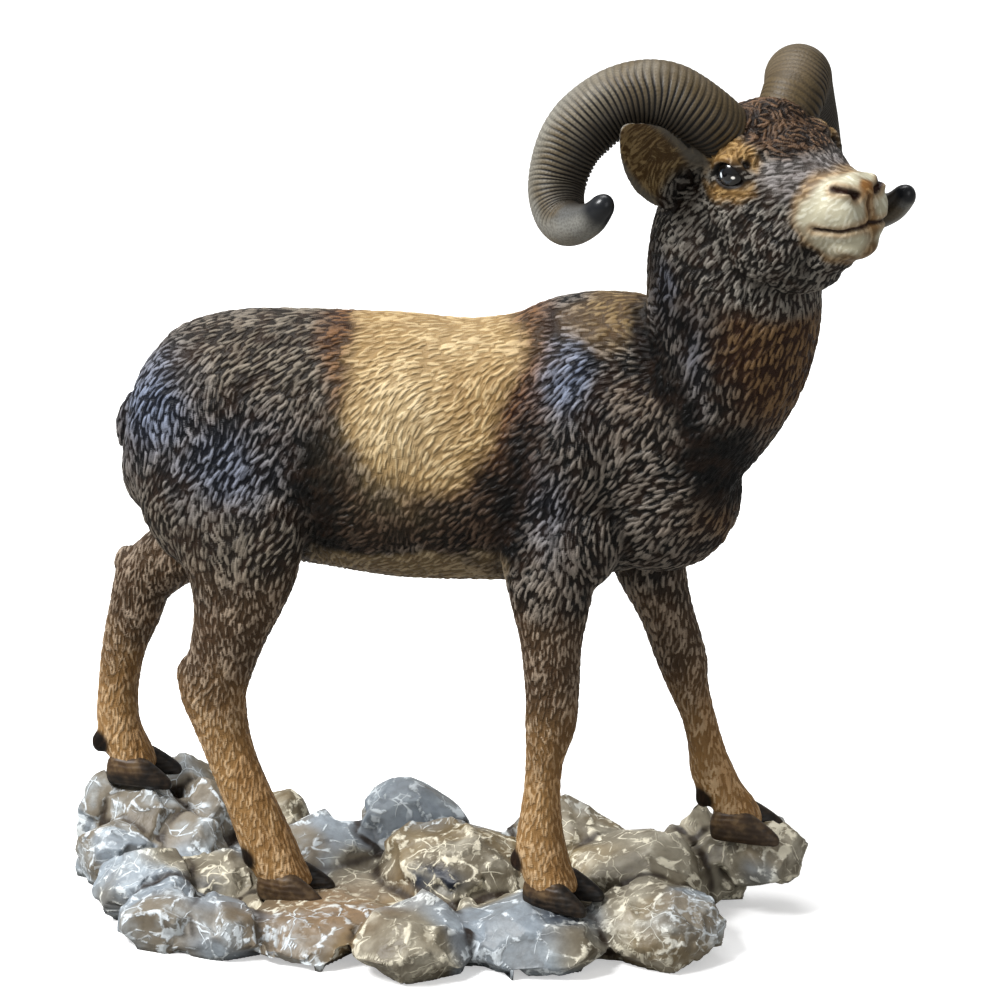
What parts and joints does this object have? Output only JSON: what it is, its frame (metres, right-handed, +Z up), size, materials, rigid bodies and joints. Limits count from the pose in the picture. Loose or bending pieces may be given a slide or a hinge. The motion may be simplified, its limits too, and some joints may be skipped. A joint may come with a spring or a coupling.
{
  "type": "resin mouflon nativity figure",
  "caption": "Cast resin figure of a horned mouflon ram walking over boulders, a shelf ornament for a nativity scene.",
  "frame": {"origin": "a point on the flat underside of the boulder base, below the middle of the body", "axes": "+X the way the body faces, +Y the animal's left, +Z up"},
  "size_m": [0.1316, 0.0586, 0.1391],
  "materials": {
    "painted_resin": "hand painted, satin"
  },
  "bodies": {
    "root": {"mouflon_figure": "painted_resin"}
  },
  "joints": []
}
